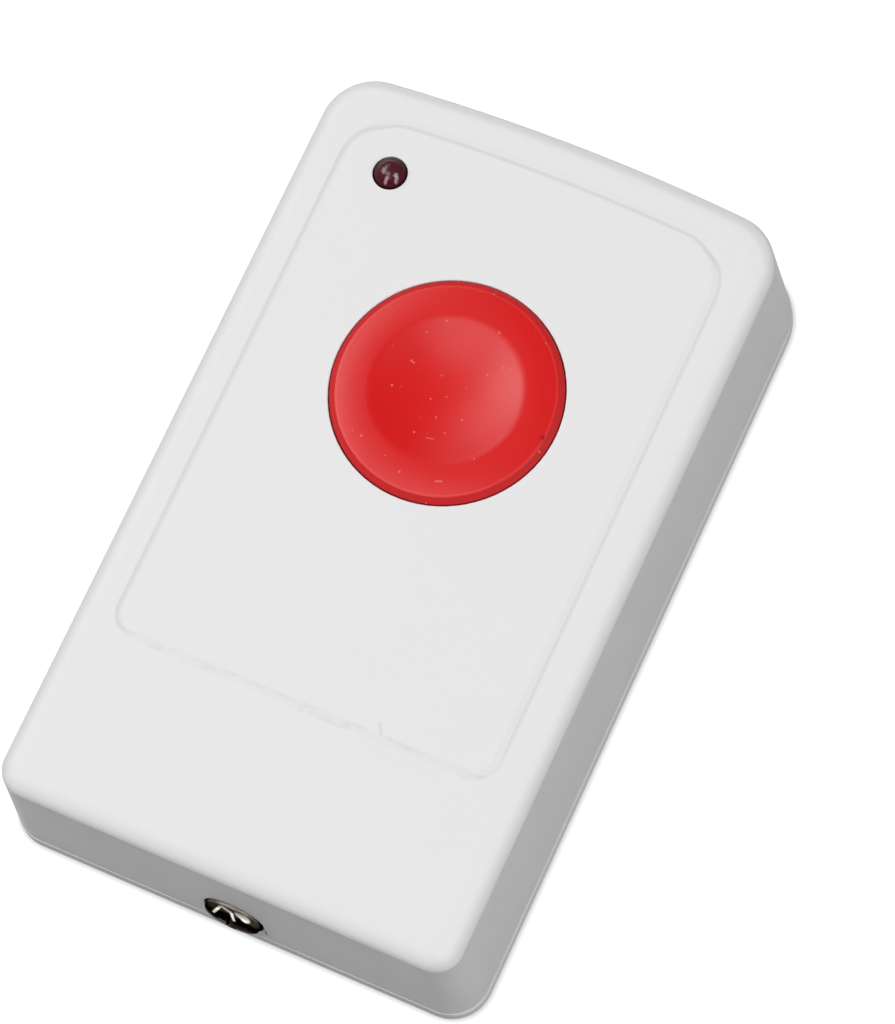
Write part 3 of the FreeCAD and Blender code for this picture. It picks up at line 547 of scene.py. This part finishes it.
def screw_plating():
    look = Finish("screw_nickel")
    vector, x, y, z = look.place()
    _, _, normal_z = look.facing()
    depth = y - head_top
    across = x - screw_x + slant_across * depth
    up = flattening * (z - screw_z + slant_up * depth)
    cloud = look.noise(vector, 0.0007)
    fine = look.rubs(vector, 0.00004, 0.9, 0.6)
    # painted highlights: 1 on the strokes and patches, and faintly on one more streak
    bright = strokes(across, up, glint_strokes + glint_patches)
    bright = bright + 0.2 * stroke(across, up, (-0.8, 0.15), (-0.15, -0.1), 0.25)
    on_head = 1 - y.rise(-36.5, -36.4)
    side = normal_z.rise(0.3, 0.7)
    near_wall = y.rise(-36.75, -36.5)
    plate = look.blend(cloud, colour(0.034, 0.027, 0.023), colour(0.052, 0.042, 0.036))
    # painted reflection: the upward-facing flank near the wall is lighter
    reflected_flank = look.blend(side * near_wall * 0.9, plate, colour(0.30, 0.27, 0.23))
    # painted highlights lighten the colour where the strokes and patches lie
    marked = look.blend(bright.clamped() * on_head, reflected_flank, colour(1.0, 0.97, 0.90))
    return look.surface(Base_Color=marked, Metallic=1.0,
                        Roughness=0.16 + 0.1 * cloud + 0.1 * fine + 0.25 * side,
                        Normal=look.relief(cloud, 0.00002, 0.25), Specular_Tint=colour(0.2, 0.17, 0.15))


dress(screw_plating(), "end_screw")

# %% [markdown]
# ## Circuit board
#
# The board is glass-fibre laminate under a green solder mask. Copper tracks show through the mask as
# paler lines. The board is divided into small fields, and chance decides whether the tracks of a field run
# across, along or are left out. The pads round the leads are tinned, and the cut edge is bare, with its
# layers of glass cloth.

# %% Circuit board
lead_pitch = 1.27


def tracks_along(value):
    """Parallel tracks, one lead pitch apart."""
    return 1 - abs((value / lead_pitch).fraction() - 0.5).rise(0.13, 0.2)


def round_pad(x, y, centre_x, centre_y, radius):
    return 1 - reach(x - centre_x, y - centre_y).rise(radius, radius + 0.1)


def tinned_pads(x, y):
    """The pads of the switch, of the lamp and of the chip's two rows of pins."""
    pads = 0
    pin_gaps = 1 - abs((x / lead_pitch).fraction() - 0.5).rise(0.25, 0.3)
    for side in (-1, 1):
        for end in (-1, 1):
            pads = pads + round_pad(x, y, side * 3.25, button_y + end * 2.25, 0.8)
        pads = pads + round_pad(x, y, lamp_x + side * lead_pitch, lamp_y, 0.75)
        row = band(y + 7.7, side * 4.6, 0.9).rise(0.05, 0.1) * (1 - abs(x).rise(6.1, 6.2))
        pads = pads + row * pin_gaps
    return pads.clamped()


def board_laminate():
    look = Finish("board_green")
    vector, x, y, z = look.place()
    _, _, normal_z = look.facing()
    cloud = look.noise(vector, 0.006)
    field_width, field_length, field_height = 3 * lead_pitch, 4 * lead_pitch, 4
    fields = look.node("CombineXYZ", values=((x / field_width).whole(), (y / field_length).whole(),
                                             (z / field_height).whole()))
    chance = look.node("TexWhiteNoise", {"noise_dimensions": "3D"}, Vector=fields)
    tracks = tracks_along(x) * chance.rise(0.45, 0.46) + tracks_along(y) * (1 - chance.rise(0.25, 0.26))
    tracks = tracks.clamped()
    pads = tinned_pads(x, y)
    level = abs(normal_z).rise(0.7, 0.8)
    mask = look.blend(tracks * 0.8, colour(0.010, 0.085, 0.035), colour(0.022, 0.16, 0.065))
    mask = look.blend(pads, mask, colour(0.62, 0.62, 0.60))
    layers = (z * 14).sine() * 0.5 + 0.5
    fibre = look.blend(layers * (0.6 + 0.4 * cloud), colour(0.42, 0.36, 0.20), colour(0.27, 0.22, 0.11))
    return look.surface(Base_Color=look.blend(level, fibre, mask), Metallic=0.9 * level * pads,
                        Roughness=0.75 - level * (0.45 - 0.1 * cloud),
                        Normal=look.relief(tracks * 0.6 + pads, 0.00004, 0.6))


dress(board_laminate(), "circuit_board")

# %% [markdown]
# ## Black mouldings
#
# The chip and the transistor are pressed in black epoxy with a dull, finely pitted skin. The switch's
# box and stem are smoother thermoplastics; glass fibre shows in the box as small pale flecks.

# %% Black mouldings
def black_moulding(name, tone, roughness, grain, flecks, parting=None):
    """Black plastic with pits, flecks and a pale parting line at a height in millimetres."""
    look = Finish(name)
    vector, _, _, z = look.place()
    pits = look.noise(vector, grain, detail=3.0, roughness=0.7)
    cloud = look.noise(vector, 0.0015)
    fleck = look.specks(vector, 0.0004, 0.00008, 0.6) * flecks
    seam = band(z, parting, 0.06) * 0.25 if parting else 0
    greyed = 1.6 * tone
    body = look.blend(cloud, colour(tone, tone, tone * 1.05), colour(greyed, greyed, greyed))
    pale = look.blend((fleck + seam).clamped(), body, colour(0.25, 0.25, 0.24))
    return look, pale, roughness + 0.12 * pits, look.relief(pits, 0.00002, 0.35)


dimple_x, dimple_y = -5.2, -9.9


def chip_body():
    """The encoder chip, with the round dimple that marks its first pin."""
    look, body, roughness, normal = black_moulding("chip_black", 0.016, 0.5, 0.00012, 0.15, 9.65)
    _, x, y, z = look.place()
    radius = reach(x - dimple_x, y - dimple_y)
    on_top = z.rise(10.7, 10.75)
    dimple = (1 - radius.rise(0.45, 0.5)) * on_top
    edge = band(radius, 0.5, 0.08) * on_top
    shade = look.blend(dimple, body, colour(0.03, 0.03, 0.032))
    return look.surface(Base_Color=look.blend(edge * 0.6, shade, colour(0.12, 0.12, 0.12)),
                        Roughness=roughness - 0.25 * dimple, Normal=normal)


def plain_black(*moulding):
    look, body, roughness, normal = black_moulding(*moulding)
    return look.surface(Base_Color=body, Roughness=roughness, Normal=normal)


dress(chip_body(), "encoder_chip")
dress(plain_black("switch_black", 0.022, 0.42, 0.0002, 0.5, 9.9), "switch_housing")
dress(plain_black("stem_black", 0.012, 0.22, 0.0003, 0.05), "switch_plunger")

# %% [markdown]
# ## Tinned leads and solder
#
# Leads and pins are copper alloy with a tin coat, dull grey and a little uneven. Near the board they run
# into bright, smooth solder. The loop aerial is a flat tinned track, so it gets the same coat.

# %% Tinned leads
def tinned(name, solder_low, solder_high):
    """A tin coat that turns to bright solder between two heights in millimetres."""
    look = Finish(name)
    vector, _, _, z = look.place()
    cloud = look.noise(vector, 0.0006)
    drawn = look.rubs(vector, 0.00003, 0.0, 0.5)
    solder = z.rise(solder_low - 0.2, solder_low) * (1 - z.rise(solder_high, solder_high + 0.3))
    coat = look.blend(cloud, colour(0.62, 0.61, 0.58), colour(0.48, 0.47, 0.45))
    return look.surface(Base_Color=look.blend(solder * 0.7, coat, colour(0.72, 0.72, 0.72)), Metallic=1.0,
                        Roughness=0.38 + 0.15 * cloud - 0.2 * solder + 0.08 * drawn,
                        Normal=look.relief(cloud, 0.00003, 0.4))


dress(tinned("pins_tinned", 8.4, 8.7), "encoder_pins")
dress(tinned("leads_tinned", 5.6, 6.9), "lamp_leads", "resonator_pins", "switch_terminals")
dress(tinned("loop_tinned", 6.75, 6.8), "loop_aerial")

# %% [markdown]
# ## Pressed and plated metal
#
# The resonator's can, the switch's plate and disc, the battery's contacts and its spring are all thin
# metal with a bright coat. What tells them apart is the way their fine marks run: in rings on the can and
# the disc, which were pressed round, and straight on the rolled plates and the drawn wire.

# %% Pressed metal
can_y = 26.64


def pressed_metal(name, bright, dull, roughness, ring_centre=None, ring_pitch=0.12, turn=0.0):
    """Bright sheet metal with marks in rings about a centre, or straight ones at an angle."""
    look = Finish(name)
    vector, x, y, _ = look.place()
    cloud = look.noise(vector, 0.0018)
    if ring_centre:
        radius = reach(x - ring_centre[0], y - ring_centre[1])
        marks = (radius * (2 * math.pi / ring_pitch) + 4 * cloud).sine() * 0.5 + 0.5
    else:
        marks = look.rubs(vector, 0.00004, turn, 0.45)
    handled = look.noise(vector, 0.003, detail=5.0).rise(0.5, 0.7)
    coat = look.blend(0.6 * cloud + 0.3 * marks, bright, dull)
    return look.surface(Base_Color=coat, Metallic=1.0,
                        Roughness=roughness + 0.1 * marks + 0.12 * handled,
                        Normal=look.relief(marks, 0.000004, 0.5))


dress(pressed_metal("can_nickel", colour(0.68, 0.66, 0.60), colour(0.52, 0.50, 0.45), 0.22, (0, can_y)),
      "resonator_can")
dress(pressed_metal("disc_steel", colour(0.60, 0.58, 0.55), colour(0.44, 0.42, 0.39), 0.25, (0, button_y)),
      "snap_dome")
dress(pressed_metal("plate_steel", colour(0.62, 0.62, 0.61), colour(0.47, 0.47, 0.47), 0.3, turn=1.57),
      "switch_frame")
dress(pressed_metal("contact_bright", colour(0.70, 0.68, 0.63), colour(0.54, 0.52, 0.47), 0.26, turn=0.0),
      "spring_contact", "nub_contact")
dress(pressed_metal("spring_bright", colour(0.70, 0.68, 0.64), colour(0.50, 0.48, 0.44), 0.2, turn=0.8),
      "battery_spring")

# %% [markdown]
# ## Board screws
#
# The three small screws are zinc plated. Zinc keeps a faint bluish and yellowish tint that wanders over
# the head, and it wears grey on the flanks.

# %% Board screws
def zinc_plating():
    look = Finish("screw_zinc")
    vector = look.place()[0]
    tint = look.noise(vector, 0.0012, detail=4.0)
    marks = look.rubs(vector, 0.00005, 0.7, 0.55)
    coat = look.blend(tint.rise(0.35, 0.65), colour(0.60, 0.63, 0.68), colour(0.66, 0.61, 0.50))
    marked = look.blend(marks * 0.4, coat, colour(0.36, 0.36, 0.37))
    return look.surface(Base_Color=marked, Metallic=1.0, Roughness=0.3 + 0.15 * tint + 0.1 * marks,
                        Normal=look.relief(tint, 0.00002, 0.3))


dress(zinc_plating(), "board_screws")

# %% [markdown]
# ## Chip resistors, capacitors and the transistor
#
# A chip resistor is a white ceramic block with a black coat on top, a chip capacitor a tan fired block.
# Both have tinned caps on their ends, where they are soldered. The transistor is a black block on three
# tinned feet. One function makes all three: a body, what covers it, and where its bare metal is.

# %% Chip parts
part_x = 14.29
transistor_y = 26.64


def chip_part(name, body, top, top_height, metal_where):
    look = Finish(name)
    vector, x, y, z = look.place()
    grain = look.noise(vector, 0.0001, detail=3.0)
    cloud = look.noise(vector, 0.0008)
    metal = metal_where(x, y, z)
    covered = look.blend(z.rise(top_height - 0.04, top_height - 0.02), body, top)
    shaded = look.blend(0.3 * cloud, covered, colour(0.08, 0.07, 0.06))
    tin = look.blend(cloud, colour(0.66, 0.65, 0.63), colour(0.52, 0.51, 0.49))
    return look.surface(Base_Color=look.blend(metal, shaded, tin), Metallic=metal,
                        Roughness=0.42 + 0.15 * grain - 0.1 * metal, Normal=look.relief(grain, 0.00001, 0.4))


def end_caps(x, y, z):
    """The last 0.35 mm at both ends of parts that are 2 mm long and lie at part_x on either side."""
    return abs(abs(x) - part_x).rise(0.63, 0.66)


def feet(x, y, z):
    """Everything of the transistor that stands out beside its 1.5 mm wide body, or under it."""
    return (abs(y - transistor_y).rise(0.74, 0.76) + (1 - z.rise(8.44, 8.46))).clamped()


dress(chip_part("resistor_black", colour(0.62, 0.61, 0.58), colour(0.018, 0.018, 0.02), 8.9, end_caps),
      "chip_resistors")
dress(chip_part("capacitor_tan", colour(0.42, 0.27, 0.15), colour(0.46, 0.30, 0.17), 9.3, end_caps),
      "chip_capacitors")
dress(chip_part("transistor_black", colour(0.02, 0.02, 0.022), colour(0.026, 0.026, 0.028), 9.4, feet),
      "radio_transistor")

# %% [markdown]
# ## Battery
#
# The cell has a steel can in a shrunk plastic sleeve, plain here: dark blue grey with a pale band at the
# end with the raised contact. The sleeve turns over the rounded edges, where it is finely puckered, and
# leaves the middle of each end bare.

# %% Battery
battery_x, battery_y, battery_z = 1.6, -22.15, 7.35


def battery_sleeve():
    look = Finish("battery_sleeve")
    vector, x, y, z = look.place()
    normal_x = look.facing()[0]
    radius = reach(y - battery_y, z - battery_z)
    cloud = look.noise(vector, 0.002)
    bare = (1 - radius.rise(4.1, 4.2)) * abs(normal_x).rise(0.4, 0.5)
    bare = (bare + x.rise(15.5, 15.6)).clamped()
    banded = look.blend(x.rise(11.0, 11.05), colour(0.035, 0.05, 0.085), colour(0.55, 0.55, 0.53))
    seam = band(z, battery_z, 0.12) * (1 - (y - battery_y).rise(-1, 1))
    sleeve = look.blend(0.5 * cloud + 0.3 * seam, banded, colour(0.10, 0.11, 0.13))
    folds = (look.noise(vector, 0.0007, detail=2.0) * 22).sine()
    pucker = folds * abs(x - battery_x).rise(13.2, 13.8)
    metal = look.blend(cloud, colour(0.70, 0.68, 0.63), colour(0.56, 0.54, 0.49))
    return look.surface(Base_Color=look.blend(bare, sleeve, metal), Metallic=bare,
                        Roughness=0.28 + 0.1 * cloud, Coat_Weight=0.4 * (1 - bare), Coat_Roughness=0.15,
                        Normal=look.relief(pucker * 0.5 + 0.3 * cloud, 0.00003, 0.5))


dress(battery_sleeve(), "battery")

# %% [markdown]
# ## Floor
#
# The object lies on plain white paper. Part of what the paper shows is real light on it, so it keeps the
# object's shadow, and the rest is a glow that only the camera and the mirrors see, so it stays white
# without adding light to the object. The glow fades close to the case, which paints a narrow contact
# shadow where the two touch. From below the paper can't be seen, and it lets the lamp under it shine through,
# like a glass table, so that the back of the case can be looked at too.

# %% Floor
floor_level = -0.0001
floor_half = 3
contact_width = 0.0006
glow_strength = 0.92


def paper():
    look = Finish("floor_paper")
    vector = look.place()[0]
    fibre = look.noise(vector, 0.002, detail=4.0)
    tone = look.blend(fibre, colour(0.25, 0.25, 0.25), colour(0.23, 0.23, 0.23))
    sheet = look.node("BsdfPrincipled", Base_Color=tone, Roughness=0.9, Specular_IOR_Level=0.1)
    path = add_node(look.tree, "LightPath")
    seen = 0
    for kind in ("Is Camera Ray", "Is Glossy Ray", "Is Transmission Ray"):
        seen = seen + Wire(look.tree, path.outputs[kind])
    # the glow is dimmed where the case is near: a painted contact shadow
    open_sky = look.node("AmbientOcclusion", {"samples": 8}, Distance=contact_width)
    glow = look.node("Emission", Color=open_sky, Strength=glow_strength * seen.clamped())
    paper_top = look.node("AddShader", values=(sheet, glow))
    shadow_ray = Wire(look.tree, path.outputs["Is Shadow Ray"])
    clear = look.node("NewGeometry", output="Backfacing").most(shadow_ray)
    return look.finish(look.node("MixShader", values=(clear, paper_top, look.node("BsdfTransparent"))))


floor_mesh = bpy.data.meshes.new("floor")
floor_corners = [(x * floor_half, y * floor_half, floor_level) for x, y in ((-1, -1), (1, -1), (1, 1), (-1, 1))]
floor_mesh.from_pydata(floor_corners, [], [(0, 1, 2, 3)])
floor = bpy.data.objects.new("floor", floor_mesh)
bpy.context.scene.collection.objects.link(floor)
floor.data.materials.append(paper())
print("floor", 2 * floor_half, "m square")

# %% [markdown]
# ## Studio light
#
# Soft boxes stand about 0.75 m off. The three on the left make the crescent in the button's dish and the
# soft band on its left edge, the one on the right lifts the right wall, and the others light the end wall,
# the face and the rounded edges. Their powers come from a fit to the brightness of the photographed
# surfaces. The lamp under the paper is small and straight below, so that it lights the back of the case
# and nothing else. The world is a dim, even grey that only fills the deepest shadows.

# %% Lights and world
def soft_box(name, place, size, power):
    """A square area light aimed at the object."""
    data = bpy.data.lights.new(name, "AREA")
    data.shape = "SQUARE"
    data.size = size
    data.energy = power
    lamp = bpy.data.objects.new(name, data)
    lamp.location = place
    lamp.rotation_euler = (-Vector(place)).to_track_quat("-Z", "Y").to_euler()
    bpy.context.scene.collection.objects.link(lamp)
    print(name, "at", place, "with", power, "W")


box_size = 0.35
soft_box("left", (-0.46, -0.09, 0.585), box_size, 1.26)
soft_box("left_low", (-0.56, 0.06, 0.48), box_size, 0.82)
soft_box("left_back", (-0.45, 0.225, 0.555), box_size, 0.80)
soft_box("right", (0.52, 0.0, 0.54), box_size, 2.21)
soft_box("front_right", (0.08, -0.45, 0.59), box_size, 0.48)
soft_box("back_left", (-0.38, 0.46, 0.45), box_size, 0.29)
soft_box("over", (-0.09, -0.17, 0.72), box_size, 1.02)
soft_box("under", (0.0, 0.0, -0.75), 0.1, 4.0)

world = bpy.data.worlds.new("studio")
world.use_nodes = True
background = world.node_tree.nodes["Background"]
background.inputs["Color"].default_value = colour(1, 1, 1)
background.inputs["Strength"].default_value = 0.1
bpy.context.scene.world = world
print("world", background.inputs["Strength"].default_value)

# %% [markdown]
# ## Camera
#
# The camera was fitted to the photograph: it looks down at about 70 degrees from the screw end's right,
# rolled by 19 degrees, from 0.37 m through a long lens. It is placed by these angles, because a camera that
# is turned by hand can't be checked against the fit.

# %% Camera
aim = Vector((0.004587, 0.000527, 0.015))
distance = 0.37017
azimuth = math.radians(42.212)
elevation = math.radians(70.516)
roll = math.radians(18.564)

back = Vector((math.sin(azimuth) * math.cos(elevation), -math.cos(azimuth) * math.cos(elevation),
               math.sin(elevation)))
level_up = (Vector((0, 0, 1)) - back * back.z).normalized()
level_right = level_up.cross(back)
up = level_up * math.cos(roll) + level_right * math.sin(roll)
right = up.cross(back)
camera_data = bpy.data.cameras.new("camera")
camera_data.sensor_width = 36
camera_data.lens = 153.78
camera_data.clip_start = 0.01
camera = bpy.data.objects.new("camera", camera_data)
turn = Matrix((right, up, back)).transposed().to_4x4()
camera.matrix_world = Matrix.Translation(aim + back * distance) @ turn
bpy.context.scene.collection.objects.link(camera)
bpy.context.scene.camera = camera
bpy.context.scene.view_settings.view_transform = "Standard"
print("camera at", [round(v, 4) for v in camera.matrix_world.translation])
